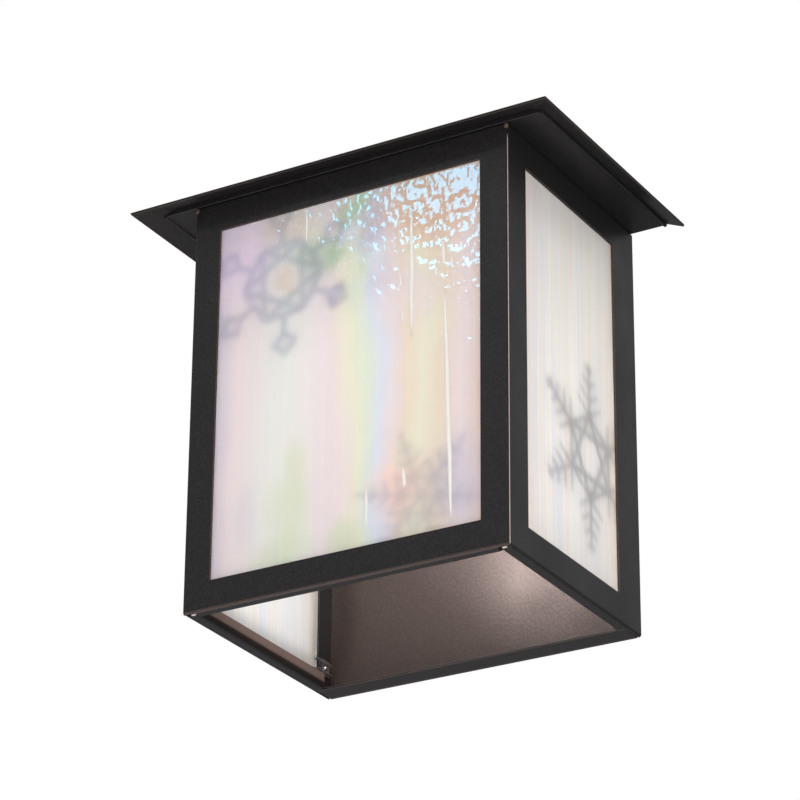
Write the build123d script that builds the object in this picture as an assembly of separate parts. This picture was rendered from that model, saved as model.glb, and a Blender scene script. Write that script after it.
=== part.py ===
from build123d import *
import math
import os

# Outdoor wall lantern of bent sheet steel and glass, in millimetres.
# X runs to the right, Y runs into the wall and Z is up. The origin is the centre of the wall mount,
# on the back of the back plate.

# Lantern body: three window frames and a shallow pan against the wall.
body_width = 228.0
body_depth = 170.0
body_height = 282.5
mount_height = 150.0
sheet = 1.5
bend_radius = 2.0
corner_round = 0.9
front_stile = 19.0
side_front_stile = 24.0
side_rear_stile = 28.5
bottom_rail = 19.5
top_rail = 21.0
channel_depth = 8.5
lip_height = 11.0
top_flange = 14.0
corner_relief = 4.5
pan_depth = 17.0
joint_gap = 0.5
weld_gap = 0.1

# Roof and soffit.
roof_side_overhang = 38.0
roof_front_overhang = 20.5
roof_pitch = 22.7
roof_sheet = 1.5
eave_drop = 4.5
soffit_overhang = 25.5
rim_radius = 1.3

# Panes and the cut-out snowflakes bonded behind them.
glass_thickness = 3.0
glass_lap = 8.0
glass_arris = 0.6
flake_sheet = 0.8
flake_margin = 1.0
crystal_reach = 44.7
crystal_ring = 28.6
crystal_bar = 4.2
crystal_star_bar = 4.0
upper_flake_inset = (47.1, 47.1)
upper_flake_turn = 3.0
lower_flake_reach = 47.5
lower_flake_ring = 13.5
lower_flake_needle = 15.0
lower_flake_inset = (42.1, 25.1)
lower_flake_turn = 17.5
side_flake_reach = 64.0
side_flake_ring = 28.2
side_star_bar = 4.0
side_flake_needle = 18.0
right_flake_inset = (34.0, 78.5)
left_flake_inset = (58.0, 72.0)
fern_bar = 3.2

# Clips, studs and nuts that hold the panes against the frames.
clip_sheet = 1.0
clip_width = 10.0
clip_lap = 5.0
clip_gap = 0.4
stud_radius = 1.5
stud_length = 7.0
stud_nut_size = 5.5
stud_nut_height = 2.4
front_clip_inset = 40.0
side_clip_inset = 60.0
finger_radius = 1.0
finger_pitch = 6.8
finger_lap = 4.0
tab_length = 9.0
tab_edge = 1.0
rear_clip_inset = 17.0
rivet_radius = 1.2
rivet_head_radius = 1.8
rivet_head_height = 1.0

# Screws that hold the frames and the pan up against the soffit.
screw_radius = 2.0
screw_head_radius = 4.0
screw_head_height = 2.6
screw_tail = 0.6
screw_clearance = 0.2
weld_nut_size = 7.0
weld_nut_height = 3.2
front_screw_spacing = 120.0
side_screw_spacing = 60.0
thread_gap = 0.03

# Lampholder, hung from the soffit on a threaded nipple.
lamp_setback = 85.0
nipple_radius = 4.75
nipple_bore = 3.2
nipple_tail = 2.0
lock_nut_size = 14.0
lock_nut_height = 3.0
holder_wall = 5.0
holder_length = 52.0
holder_floor = 16.0
holder_neck_radius = 12.0
holder_shoulder = 9.0
holder_lip = 1.5
shell_wall = 0.5
shell_length = 28.0
shell_ring_inner = 8.5
contact_radius = 7.0
contact_drop = 4.5
contact_sheet = 0.6

# Bulb.
bulb_base_radius = 13.0
bulb_base_length = 22.0
bulb_radius = 30.0
bulb_length = 108.0
bulb_neck_length = 12.0
bulb_wall = 1.0
cap_wall = 0.5
cap_crown = 2.0
bulb_button_radius = 4.5
bulb_button_height = 1.5
insulator_height = 3.5
insulator_radius = 11.0
lamp_gap = 0.3

# Wall mount, wire entry and ground.
box_screw_spacing = 88.9
box_screw_hole = 2.75
entry_hole = 11.1
entry_bore = 8.0
bushing_flange = 13.5
bushing_nose = 2.0
bushing_gap = 0.1
ground_offset = (32.0, -30.0)
ground_screw_radius = 2.4
ground_collar_radius = 4.4
ground_collar_height = 2.5
ground_washer_radius = 5.5
ground_washer_height = 0.8
ground_head_size = 8.0
ground_head_height = 3.2

# Places that follow from the sizes above.
bottom = -mount_height
top = bottom + body_height
front = -body_depth
half_width = body_width / 2
inner_half = half_width - sheet
pan_half = inner_half - weld_gap
window_bottom = bottom + bottom_rail
window_top = top - top_rail
window_half = half_width - front_stile
window_front = front + side_front_stile
window_rear = -side_rear_stile
pane_bottom = bottom + sheet
pane_top = window_top + glass_lap
soffit_top = top + sheet
past = 1.0

slope = math.radians(roof_pitch)
roof_half = half_width + roof_side_overhang
roof_depth = body_depth + roof_front_overhang
eave_level = top - eave_drop
eave_half = roof_half - roof_sheet * math.sin(slope)
eave_front = roof_depth - roof_sheet * math.sin(slope)
roof_rise = eave_half * math.tan(slope)
roof_skin = roof_sheet / math.cos(slope)


def block(low, high):
    """Box between two opposite corners."""
    size = [b - a for a, b in zip(low, high)]
    middle = [(a + b) / 2 for a, b in zip(low, high)]
    return Pos(*middle) * Box(*size)


def rod(radius, start, end):
    """Round bar from one point to another."""
    direction = Vector(*end) - Vector(*start)
    at_start = Plane(origin=start, z_dir=direction)
    return at_start * Cylinder(radius, direction.length, align=(Align.CENTER, Align.CENTER, Align.MIN))


def hex_nut(size, bore, start, end):
    """Hexagon nut across its flats, bored through, from one point to another."""
    direction = Vector(*end) - Vector(*start)
    outline = RegularPolygon(size / 2, 6, major_radius=False) - Circle(bore)
    return extrude(Plane(origin=start, z_dir=direction) * outline, amount=direction.length)


def turned(outline):
    """Solid of revolution about the lamp's vertical axis, from an outline of radii and heights."""
    section = Plane(origin=(0, -lamp_setback, 0), x_dir=(1, 0, 0), z_dir=(0, -1, 0)) * outline
    return revolve(section, axis=Axis((0, -lamp_setback, 0), (0, 0, 1)))


def mirrored_pair(solid):
    """A solid and its mirror image on the other side of the lantern."""
    return [solid, mirror(solid, about=Plane.YZ)]


def frame_section(face_line, inward):
    """Section of a window frame: top flange, outer face, foot and upturned lip of the glass channel."""
    line = FilletPolyline(
        (face_line + inward * top_flange, top),
        (face_line, top),
        (face_line, bottom),
        (face_line + inward * channel_depth, bottom),
        (face_line + inward * channel_depth, bottom + lip_height),
        radius=bend_radius,
    )
    inside = Side.LEFT if inward > 0 else Side.RIGHT
    return make_face(line.offset_2d(sheet, kind=Kind.ARC, side=inside).edges())


def make_front_frame():
    """Front window frame, whose channel and top flange stop short of the side frames."""
    frame = extrude(Plane.YZ * frame_section(front, 1), amount=half_width, both=True)
    corners = [edge for edge in frame.edges().filter_by(Axis.Z) if abs(edge.center().Y - front) < weld_gap]
    frame = fillet(corners, corner_round)
    channel_end = half_width - channel_depth - joint_gap
    flange_end = half_width - top_flange - joint_gap
    behind = front + sheet
    for end in mirrored_pair(block((channel_end, behind, bottom - past), (half_width + past, 0, 0))):
        frame -= end
    for end in mirrored_pair(block((flange_end, behind, 0), (half_width + past, 0, top + past))):
        frame -= end
    frame -= block((-window_half, front - past, window_bottom), (window_half, behind + past, window_top))
    for x, y in soffit_screw_places()["front"]:
        frame -= rod(screw_radius + screw_clearance, (x, y, top - sheet - past), (x, y, top + past))
    return frame


def make_right_frame():
    """Right window frame. Its foot ends at the pan's flange, and a corner relief opens behind the front."""
    frame = extrude(Plane.XZ * frame_section(half_width, -1), amount=body_depth - sheet)
    inner_end = half_width - top_flange - past
    frame -= block((inner_end, -pan_depth - joint_gap, bottom - past), (inner_half, past, top + past))
    frame -= block((inner_end, front, bottom - past), (inner_half, front + corner_relief, top + past))
    frame -= block(
        (inner_half - past, window_front, window_bottom),
        (half_width + past, window_rear, window_top),
    )
    for x, y in soffit_screw_places()["right"]:
        frame -= rod(screw_radius + screw_clearance, (x, y, top - sheet - past), (x, y, top + past))
    return frame


def make_back_plate():
    """Flat plate against the wall, with the wall mount's holes and a tapped collar for the ground screw."""
    outline = RectangleRounded(2 * pan_half, body_height, bend_radius)
    wall_plane = Plane(origin=(0, 0, (bottom + top) / 2), x_dir=(1, 0, 0), z_dir=(0, -1, 0))
    plate = extrude(wall_plane * outline, amount=sheet)
    plate -= rod(entry_hole, (0, -sheet - past, 0), (0, past, 0))
    for x in (-box_screw_spacing / 2, box_screw_spacing / 2):
        plate -= rod(box_screw_hole, (x, -sheet - past, 0), (x, past, 0))
    x, z = ground_offset
    plate += rod(ground_collar_radius, (x, -sheet, z), (x, -sheet - ground_collar_height, z))
    plate -= rod(ground_screw_radius + thread_gap, (x, -sheet - ground_collar_height, z), (x, past, z))
    return plate


def make_back_rim():
    """Band bent from one strip and welded to the plate's edges, which makes the back a shallow pan."""
    outline = RectangleRounded(2 * pan_half, body_height, bend_radius)
    outline -= RectangleRounded(2 * (pan_half - sheet), body_height - 2 * sheet, bend_radius - sheet)
    rim_plane = Plane(origin=(0, -sheet, (bottom + top) / 2), x_dir=(1, 0, 0), z_dir=(0, -1, 0))
    rim = extrude(rim_plane * outline, amount=pan_depth - sheet)
    for x, y in soffit_screw_places()["back"]:
        rim -= rod(screw_radius + screw_clearance, (x, y, top - sheet - past), (x, y, top + past))
    for height in rear_clip_heights():
        for hole in mirrored_pair(clip_rivet_hole(height)):
            rim -= hole
    return rim


def under_roof(gap):
    """Space below the roof's underside, lowered by a gap, from below the eaves up to the ridge."""
    floor = eave_level - roof_rise
    across = Polyline(
        (-eave_half, floor),
        (eave_half, floor),
        (eave_half, eave_level - gap),
        (0, eave_level + roof_rise - gap),
        (-eave_half, eave_level - gap),
        close=True,
    )
    along = Polyline(
        (0, floor),
        (-eave_front, floor),
        (-eave_front, eave_level - gap),
        (0, eave_level + eave_front * math.tan(slope) - gap),
        close=True,
    )
    side_slopes = extrude(Plane.XZ * make_face(across), amount=eave_front)
    front_slope = extrude(Plane.YZ * make_face(along), amount=eave_half, both=True)
    return side_slopes & front_slope


def make_roof():
    """Hipped roof: two side slopes and a front slope of sheet, mitred along the hips."""
    edge_rise = roof_sheet * math.cos(slope)
    chevron = Polyline(
        (eave_half, eave_level),
        (roof_half, eave_level + edge_rise),
        (0, eave_level + roof_rise + roof_skin),
        (-roof_half, eave_level + edge_rise),
        (-eave_half, eave_level),
        (0, eave_level + roof_rise),
        close=True,
    )
    climb = eave_front * math.tan(slope)
    front_strip = Polyline(
        (-eave_front, eave_level),
        (-roof_depth, eave_level + edge_rise),
        (0, eave_level + climb + roof_skin),
        (0, eave_level + climb),
        close=True,
    )
    hips = Polyline(
        (0, roof_half - roof_depth),
        (-roof_half - past, -roof_depth - past),
        (roof_half + past, -roof_depth - past),
        close=True,
    )
    front_area = Pos(0, 0, eave_level - past) * extrude(make_face(hips), amount=climb + roof_rise)
    sides = extrude(Plane.XZ * make_face(chevron), amount=roof_depth + past) - front_area
    front_slope = extrude(Plane.YZ * make_face(front_strip), amount=roof_half, both=True) & front_area
    return sides + front_slope


def make_roof_back():
    """Gable that closes the roof against the wall."""
    slab = block((-roof_half, -sheet, soffit_top), (roof_half, 0, eave_level + roof_rise))
    return slab & under_roof(weld_gap)


def make_soffit_plate():
    """Flat ceiling under the roof, turned up along the front and rolled along both side edges."""
    soffit_half = half_width + soffit_overhang
    plate = block((-soffit_half, front, top), (soffit_half, 0, soffit_top))
    plate += block((-soffit_half, front, soffit_top), (soffit_half, front + sheet, top + roof_rise))
    rim_line = soffit_half - rim_radius
    for rim in mirrored_pair(rod(rim_radius, (rim_line, front, top), (rim_line, 0, top))):
        plate += rim
    plate &= under_roof(weld_gap)
    for places in soffit_screw_places().values():
        for x, y in places:
            plate -= rod(screw_radius + screw_clearance, (x, y, top - past), (x, y, soffit_top + past))
    nipple_hole = nipple_radius + screw_clearance
    plate -= rod(nipple_hole, (0, -lamp_setback, top - past), (0, -lamp_setback, soffit_top + past))
    return plate


def soffit_screw_places():
    """Plan positions of the screws through each top flange."""
    across = front_screw_spacing / 2
    along = side_screw_spacing / 2
    flange_line = (top_flange + sheet) / 2
    side_line = half_width - flange_line
    middle = (front - pan_depth) / 2
    return {
        "front": [(-across, front + flange_line), (across, front + flange_line)],
        "right": [(side_line, middle - along), (side_line, middle + along)],
        "left": [(-side_line, middle - along), (-side_line, middle + along)],
        "back": [(-across, -(pan_depth + sheet) / 2), (across, -(pan_depth + sheet) / 2)],
    }


def make_soffit_screws():
    """Pan-head screws, driven up through the top flanges into the soffit's weld nuts."""
    screws = []
    seat = top - sheet
    tip = soffit_top + weld_nut_height + screw_tail
    for places in soffit_screw_places().values():
        for x, y in places:
            head = rod(screw_head_radius, (x, y, seat - screw_head_height), (x, y, seat))
            head = fillet(head.faces().sort_by(Axis.Z)[0].edges(), screw_head_height / 2)
            screws.append(head + rod(screw_radius, (x, y, seat), (x, y, tip)))
    return screws


def make_soffit_nuts():
    """Hexagon weld nuts on top of the soffit."""
    nuts = []
    for places in soffit_screw_places().values():
        for x, y in places:
            upper = soffit_top + weld_nut_height
            nuts.append(hex_nut(weld_nut_size, screw_radius + thread_gap, (x, y, soffit_top), (x, y, upper)))
    return nuts


def pane(low, high):
    """Pane of sheet glass with arrised edges."""
    return chamfer(block(low, high).edges(), glass_arris)


def make_front_glass():
    reach = window_half + glass_lap
    inner = front + sheet
    return pane((-reach, inner, pane_bottom), (reach, inner + glass_thickness, pane_top))


def side_pane_ends():
    """Front and rear edges of a side pane."""
    return window_front - glass_lap, window_rear + glass_lap


def make_right_glass():
    near, far = side_pane_ends()
    return pane((inner_half - glass_thickness, near, pane_bottom), (inner_half, far, pane_top))


def bar(start, end, width, end_width):
    """Tapered flat bar between two points of a flat pattern."""
    along = Vector(*end) - Vector(*start)
    across = Vector(-along.Y, along.X).normalized()
    corners = [
        Vector(*start) + across * (width / 2),
        Vector(*end) + across * (end_width / 2),
        Vector(*end) - across * (end_width / 2),
        Vector(*start) - across * (width / 2),
    ]
    return make_face(Polyline(*corners, close=True))


def six_arms(pieces):
    """Six copies of one arm's pieces about the centre, joined."""
    copies = [Rot(0, 0, 60 * turn) * piece for turn in range(6) for piece in pieces]
    return Sketch() + copies


def ring_side(corner, step, width):
    """Bar between two corners of a hexagon, the top one and the one so many steps on."""
    turn = math.radians(60 * step)
    return bar((0, corner), (corner * math.sin(turn), corner * math.cos(turn)), width, width)


def crystal_flake(reach, ring, width, star_width):
    """Snowflake of plain bars: a six-pointed star in a hexagonal ring, and a hollow lozenge on each arm."""
    side = width * 3.5
    hollow = side - 2 * width
    pieces = [Pos(0, reach) * (Rot(0, 0, 45) * (Rectangle(side, side) - Rectangle(hollow, hollow)))]
    pieces.append(bar((0, ring * math.cos(math.pi / 6)), (0, reach - side / 2), width, width))
    for step in (1, 2):
        pieces.append(Rot(0, 0, 30) * ring_side(ring, step, star_width))
    return six_arms(pieces)


def fern_flake(reach, ring, needle, width, pairs, star_width):
    """Feathered snowflake: a hexagonal ring, open round a star or crossed by its arms, and paired needles."""
    pieces = [bar((0, ring if star_width else 0), (0, reach), width, width * 0.7), ring_side(ring, 1, width)]
    if star_width:
        pieces.append(ring_side(ring, 2, star_width))
    lean = math.radians(60)
    for index in range(pairs):
        level = ring + (reach - ring) * index * 0.28
        length = needle * (1 - index / (pairs + 0.5))
        for side in (-1, 1):
            point = (side * length * math.sin(lean), level + length * math.cos(lean))
            pieces.append(bar((0, level), point, width, width * 0.7))
    return six_arms(pieces)


def front_flake(pattern, turn, x, z):
    """Snowflake lying on the back of the front pane, trimmed to the pane."""
    face_line = front + sheet + glass_thickness
    flake = extrude(
        Plane(origin=(x, face_line, z), x_dir=(1, 0, 0), z_dir=(0, -1, 0)) * (Rot(0, 0, turn) * pattern),
        amount=flake_sheet,
        dir=(0, 1, 0),
    )
    reach = window_half + glass_lap - flake_margin
    return flake & block(
        (-reach, face_line, pane_bottom + flake_margin),
        (reach, face_line + flake_sheet, pane_top - flake_margin),
    )


def side_flake(pattern, y, z):
    """Snowflake lying on the inner face of the right pane, trimmed to the pane."""
    face_line = inner_half - glass_thickness
    flake = extrude(
        Plane(origin=(face_line, y, z), x_dir=(0, 1, 0), z_dir=(1, 0, 0)) * pattern,
        amount=flake_sheet,
        dir=(-1, 0, 0),
    )
    near, far = side_pane_ends()
    return flake & block(
        (face_line - flake_sheet, near + flake_margin, pane_bottom + flake_margin),
        (face_line, far - flake_margin, pane_top - flake_margin),
    )


def clip_section():
    """Stepped clip, seen end on: foot on the frame, step past the pane's edge, toe on the pane."""
    foot = clip_foot_length()
    line = Polyline((foot, 0), (clip_gap, 0), (clip_gap, glass_thickness), (-clip_lap, glass_thickness))
    return make_face(line.offset_2d(clip_sheet, kind=Kind.INTERSECTION, side=Side.RIGHT).edges())


def stud_line():
    """Distance from a pane's edge to the centre of a clip's stud."""
    nut_corner = stud_nut_size / math.sqrt(3)
    return clip_gap + clip_sheet + nut_corner + weld_gap


def clip_foot_length():
    return stud_line() + stud_nut_size / 2 + joint_gap


def front_clip_places():
    """Planes of the right-hand clips of the front pane: X out from its edge, Y in from the frame."""
    edge = window_half + glass_lap
    heights = (window_bottom + front_clip_inset, window_top - front_clip_inset)
    return [Plane(origin=(edge, front + sheet, z), x_dir=(1, 0, 0), z_dir=(0, 0, 1)) for z in heights]


def side_clip_places():
    """Planes of the clips at the front edge of the right pane: X out from its edge, Y in from the frame."""
    edge = side_pane_ends()[0]
    heights = (window_bottom + side_clip_inset, window_top - side_clip_inset)
    return [Plane(origin=(inner_half, edge, z), x_dir=(0, -1, 0), z_dir=(0, 0, -1)) for z in heights]


def make_clips(places):
    """Stepped clips at these places and on the other side of the lantern."""
    clips = []
    for place in places:
        clip = extrude(place * clip_section(), amount=clip_width / 2, both=True)
        stud = stud_line()
        clip -= rod(
            stud_radius + clip_gap / 2,
            place.from_local_coords((stud, -past, 0)),
            place.from_local_coords((stud, clip_sheet + past, 0)),
        )
        clips += mirrored_pair(clip)
    return clips


def make_studs(places):
    """Weld studs on the frames, one through each clip."""
    studs = []
    for place in places:
        start = place.from_local_coords((stud_line(), 0, 0))
        end = place.from_local_coords((stud_line(), stud_length, 0))
        studs += mirrored_pair(rod(stud_radius, start, end))
    return studs


def make_stud_nuts(places):
    """Hexagon nuts on the studs, tight against the clips."""
    nuts = []
    for place in places:
        start = place.from_local_coords((stud_line(), clip_sheet, 0))
        end = place.from_local_coords((stud_line(), clip_sheet + stud_nut_height, 0))
        nuts += mirrored_pair(hex_nut(stud_nut_size, stud_radius + thread_gap, start, end))
    return nuts


def rear_clip_heights():
    """Heights of the lower and upper clips on the pan's side flanges."""
    return bottom + rear_clip_inset, pane_top - rear_clip_inset


def pan_flange_face():
    """Inner face of the pan's right flange."""
    return pan_half - sheet


def finger_line():
    """Centre line of a clip finger, just clear of the pane's inner face."""
    return inner_half - glass_thickness - weld_gap - finger_radius


def clip_tab_middle():
    return -pan_depth + tab_edge + tab_length / 2


def clip_rivet_hole(height):
    y = clip_tab_middle()
    return rod(rivet_radius + thread_gap, (finger_line() - past, y, height), (inner_half, y, height))


def make_rear_clips():
    """Clips riveted inside the pan's side flanges, each with two round-ended fingers over the pane's edge."""
    clips = []
    x = finger_line()
    tip = side_pane_ends()[1] - finger_lap
    tab_front = -pan_depth + tab_edge
    for height in rear_clip_heights():
        half_tab = finger_pitch / 2 + finger_radius + tab_edge
        clip = block(
            (x, tab_front, height - half_tab),
            (pan_flange_face(), tab_front + tab_length, height + half_tab),
        )
        for z in (height - finger_pitch / 2, height + finger_pitch / 2):
            finger = rod(finger_radius, (x, tip, z), (x, tab_front + tab_length, z))
            finger += Pos(x, tip, z) * Sphere(finger_radius)
            finger += Pos(x, tab_front + tab_length, z) * Sphere(finger_radius)
            clip += finger
        clip -= clip_rivet_hole(height)
        clips += mirrored_pair(clip)
    return clips


def make_clip_rivets():
    """Round-head rivets that hold the rear clips to the pan."""
    rivets = []
    y = clip_tab_middle()
    x = finger_line()
    for height in rear_clip_heights():
        head = rod(rivet_head_radius, (x - rivet_head_height, y, height), (x, y, height))
        head = fillet(head.faces().sort_by(Axis.X)[0].edges(), rivet_head_height * 0.8)
        shank = rod(rivet_radius, (x, y, height), (pan_half, y, height))
        rivets += mirrored_pair(head + shank)
    return rivets


def holder_top():
    """Top of the lampholder, under the lower lock nut."""
    return top - lock_nut_height


def holder_bore():
    """Radius of the lampholder's cup, round its screw shell."""
    return bulb_base_radius + lamp_gap + shell_wall + weld_gap


def make_lampholder():
    """Glazed porcelain cup with a narrower neck for the nipple."""
    level = holder_top()
    outer = holder_bore() + holder_wall
    bore = nipple_radius + weld_gap
    mouth = level - holder_length
    floor = level - holder_floor
    line = Polyline(
        (bore, level),
        (holder_neck_radius, level),
        (outer, level - holder_shoulder),
        (outer, mouth + holder_lip),
        (outer - holder_lip, mouth),
        (holder_bore(), mouth),
        (holder_bore(), floor),
        (bore, floor),
        close=True,
    )
    return turned(make_face(line))


def make_screw_shell():
    """Brass sleeve with a turned-in ring against the porcelain floor."""
    level = holder_top() - holder_floor
    outer = holder_bore() - weld_gap
    line = Polyline(
        (shell_ring_inner, level),
        (outer, level),
        (outer, level - shell_length),
        (outer - shell_wall, level - shell_length),
        (outer - shell_wall, level - shell_wall),
        (shell_ring_inner, level - shell_wall),
        close=True,
    )
    return turned(make_face(line))


def make_centre_contact():
    """Domed brass spring in the middle of the lampholder's floor."""
    level = holder_top() - holder_floor
    line = Polyline(
        (contact_radius, level),
        (contact_radius * 0.6, level),
        (contact_radius * 0.5, level - contact_drop + contact_sheet),
        (0, level - contact_drop + contact_sheet),
        (0, level - contact_drop),
        (contact_radius * 0.55, level - contact_drop),
        (contact_radius * 0.68, level - contact_sheet),
        (contact_radius, level - contact_sheet),
        close=True,
    )
    return turned(make_face(line))


def make_nipple():
    """Threaded tube that carries the lampholder and leads the wires through the soffit."""
    lower = holder_top() - holder_floor + lock_nut_height
    upper = soffit_top + lock_nut_height + nipple_tail
    tube = rod(nipple_radius, (0, -lamp_setback, lower), (0, -lamp_setback, upper))
    return tube - rod(nipple_bore, (0, -lamp_setback, lower - past), (0, -lamp_setback, upper + past))


def make_lock_nuts():
    """Lock nuts on the nipple, one below the soffit and one above it."""
    levels = ((holder_top(), top), (soffit_top, soffit_top + lock_nut_height))
    bore = nipple_radius + thread_gap
    return [hex_nut(lock_nut_size, bore, (0, -lamp_setback, a), (0, -lamp_setback, b)) for a, b in levels]


def bulb_top():
    """Level of the bulb's centre contact, just below the lampholder's."""
    return holder_top() - holder_floor - contact_drop - lamp_gap


def bulb_base_top():
    return bulb_top() - bulb_button_height - insulator_height


def make_bulb_contact():
    level = bulb_top()
    button = turned(Pos(bulb_button_radius / 2, level - bulb_button_height / 2)
                    * Rectangle(bulb_button_radius, bulb_button_height))
    return fillet(button.faces().sort_by(Axis.Z)[-1].edges(), bulb_button_height / 2)


def make_bulb_insulator():
    upper = bulb_top() - bulb_button_height
    line = Polyline(
        (0, upper),
        (bulb_button_radius + joint_gap, upper),
        (insulator_radius, bulb_base_top()),
        (0, bulb_base_top()),
        close=True,
    )
    return turned(make_face(line))


def make_bulb_base():
    """Thin screw cap, open below, with a rounded shoulder at its upper end."""
    level = bulb_base_top()
    mouth = level - bulb_base_length
    cap = turned(Pos(bulb_base_radius / 2, level - bulb_base_length / 2)
                 * Rectangle(bulb_base_radius, bulb_base_length))
    cap = fillet(cap.faces().sort_by(Axis.Z)[-1].edges(), bulb_base_radius - insulator_radius)
    inside = rod(
        bulb_base_radius - cap_wall,
        (0, -lamp_setback, mouth - past),
        (0, -lamp_setback, level - cap_crown),
    )
    return cap - inside


def bulb_body(inset):
    """Globe and neck of the bulb as a solid, drawn in by the wall's thickness for the space inside."""
    mouth = bulb_base_top() - bulb_base_length
    neck_top = mouth + bulb_neck_length
    middle = bulb_top() - bulb_length + bulb_radius
    neck = bulb_base_radius - cap_wall - weld_gap - inset
    round_radius = bulb_radius - inset
    low = middle - round_radius
    neck_line = Line((neck, neck_top), (neck, mouth))
    shoulder = Spline((neck, mouth), (round_radius, middle), tangents=((0, -1), (0, -1)))
    globe = RadiusArc((round_radius, middle), (0, low), round_radius)
    axis_line = Line((0, low), (0, neck_top))
    lid = Line((0, neck_top), (neck, neck_top))
    return turned(make_face([neck_line, shoulder, globe, axis_line, lid]))


def make_bulb_glass():
    """Blown globe that narrows to an open neck in the screw cap."""
    return bulb_body(0) - bulb_body(bulb_wall)


def make_wire_bushing():
    """Smooth bushing in the wire entry, with its collar on the room side of the plate."""
    sleeve = rod(entry_hole - bushing_gap, (0, -sheet, 0), (0, 0, 0))
    collar = rod(bushing_flange, (0, -sheet - bushing_nose, 0), (0, -sheet, 0))
    collar = fillet(collar.faces().sort_by(Axis.Y)[0].edges(), bushing_nose / 2)
    return collar + sleeve - rod(entry_bore, (0, -sheet - bushing_nose - past, 0), (0, past, 0))


def ground_levels():
    """Faces under and over the ground washer."""
    under = -sheet - ground_collar_height
    return under, under - ground_washer_height


def make_ground_washer():
    x, z = ground_offset
    under, over = ground_levels()
    washer = rod(ground_washer_radius, (x, under, z), (x, over, z))
    return washer - rod(ground_screw_radius + screw_clearance, (x, under + past, z), (x, over - past, z))


def make_ground_screw():
    """Hexagon-head ground screw in the pan's tapped collar."""
    x, z = ground_offset
    over = ground_levels()[1]
    outline = RegularPolygon(ground_head_size / 2, 6, major_radius=False)
    head = extrude(Plane(origin=(x, over, z), z_dir=(0, -1, 0)) * outline, amount=ground_head_height)
    return head + rod(ground_screw_radius, (x, over, z), (x, -weld_gap, z))


right_frame = make_right_frame()
right_glass = make_right_glass()
clip_places = front_clip_places() + side_clip_places()
feathered = fern_flake(side_flake_reach, side_flake_ring, side_flake_needle, fern_bar, 4, side_star_bar)
snowflake_right = side_flake(
    feathered,
    window_rear - right_flake_inset[0],
    window_bottom + right_flake_inset[1],
)
left_pattern = side_flake(feathered, window_rear - left_flake_inset[0], window_top - left_flake_inset[1])

nodes = {
    "front_frame": make_front_frame(),
    "right_frame": right_frame,
    "left_frame": mirror(right_frame, about=Plane.YZ),
    "back_plate": make_back_plate(),
    "back_rim": make_back_rim(),
    "soffit_plate": make_soffit_plate(),
    "roof": make_roof(),
    "roof_back": make_roof_back(),
    "front_glass": make_front_glass(),
    "right_glass": right_glass,
    "left_glass": mirror(right_glass, about=Plane.YZ),
    "snowflake_upper": front_flake(
        crystal_flake(crystal_reach, crystal_ring, crystal_bar, crystal_star_bar),
        upper_flake_turn,
        -window_half + upper_flake_inset[0],
        window_top - upper_flake_inset[1],
    ),
    "snowflake_lower": front_flake(
        fern_flake(lower_flake_reach, lower_flake_ring, lower_flake_needle, fern_bar, 3, 0),
        lower_flake_turn,
        window_half - lower_flake_inset[0],
        window_bottom + lower_flake_inset[1],
    ),
    "snowflake_right": snowflake_right,
    "snowflake_left": mirror(left_pattern, about=Plane.YZ),
    "front_glass_clips": make_clips(front_clip_places()),
    "side_glass_clips": make_clips(side_clip_places()),
    "clip_studs": make_studs(clip_places),
    "clip_nuts": make_stud_nuts(clip_places),
    "rear_glass_clips": make_rear_clips(),
    "clip_rivets": make_clip_rivets(),
    "soffit_screws": make_soffit_screws(),
    "soffit_nuts": make_soffit_nuts(),
    "lampholder": make_lampholder(),
    "screw_shell": make_screw_shell(),
    "centre_contact": make_centre_contact(),
    "lamp_nipple": make_nipple(),
    "lock_nuts": make_lock_nuts(),
    "bulb_contact": make_bulb_contact(),
    "bulb_insulator": make_bulb_insulator(),
    "bulb_base": make_bulb_base(),
    "bulb_glass": make_bulb_glass(),
    "wire_bushing": make_wire_bushing(),
    "ground_washer": make_ground_washer(),
    "ground_screw": make_ground_screw(),
}

os.makedirs("parts", exist_ok=True)
for name, shape in nodes.items():
    whole = Compound(shape) if isinstance(shape, list) else shape
    export_step(whole, f"parts/{name}.step")
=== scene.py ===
"""Outdoor wall lantern of bronze powder-coated sheet steel with opal art-glass panes."""
import math

import bmesh
import bpy
from mathutils import Matrix, Vector, noise
from mathutils.bvhtree import BVHTree


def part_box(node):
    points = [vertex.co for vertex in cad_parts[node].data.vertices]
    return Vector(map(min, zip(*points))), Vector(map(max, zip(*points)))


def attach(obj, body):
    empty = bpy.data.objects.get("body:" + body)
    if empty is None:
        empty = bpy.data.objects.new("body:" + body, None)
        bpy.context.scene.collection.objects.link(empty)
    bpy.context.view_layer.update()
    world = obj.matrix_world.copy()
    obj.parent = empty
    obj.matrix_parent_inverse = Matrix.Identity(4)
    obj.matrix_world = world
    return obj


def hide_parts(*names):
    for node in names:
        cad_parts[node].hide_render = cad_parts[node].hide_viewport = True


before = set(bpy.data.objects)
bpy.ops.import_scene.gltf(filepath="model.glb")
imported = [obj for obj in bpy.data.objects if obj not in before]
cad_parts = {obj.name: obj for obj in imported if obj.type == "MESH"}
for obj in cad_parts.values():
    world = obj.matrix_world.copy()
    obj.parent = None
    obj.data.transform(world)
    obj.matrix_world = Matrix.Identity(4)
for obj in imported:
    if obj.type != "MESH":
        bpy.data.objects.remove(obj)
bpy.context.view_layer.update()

# The view: a long lens, low and to the right, looks up at the lantern as it hangs on a wall.
# Its place, turn and length were worked out from the corners of the body and the roof.
scene = bpy.context.scene
scene.view_settings.view_transform = "Standard"
lens_place = (1.02631, -1.84028, -0.95438)
lens_length = 159.53
film_width = 36
heading = math.radians(30.578)
tilt = math.radians(25.237)
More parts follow.
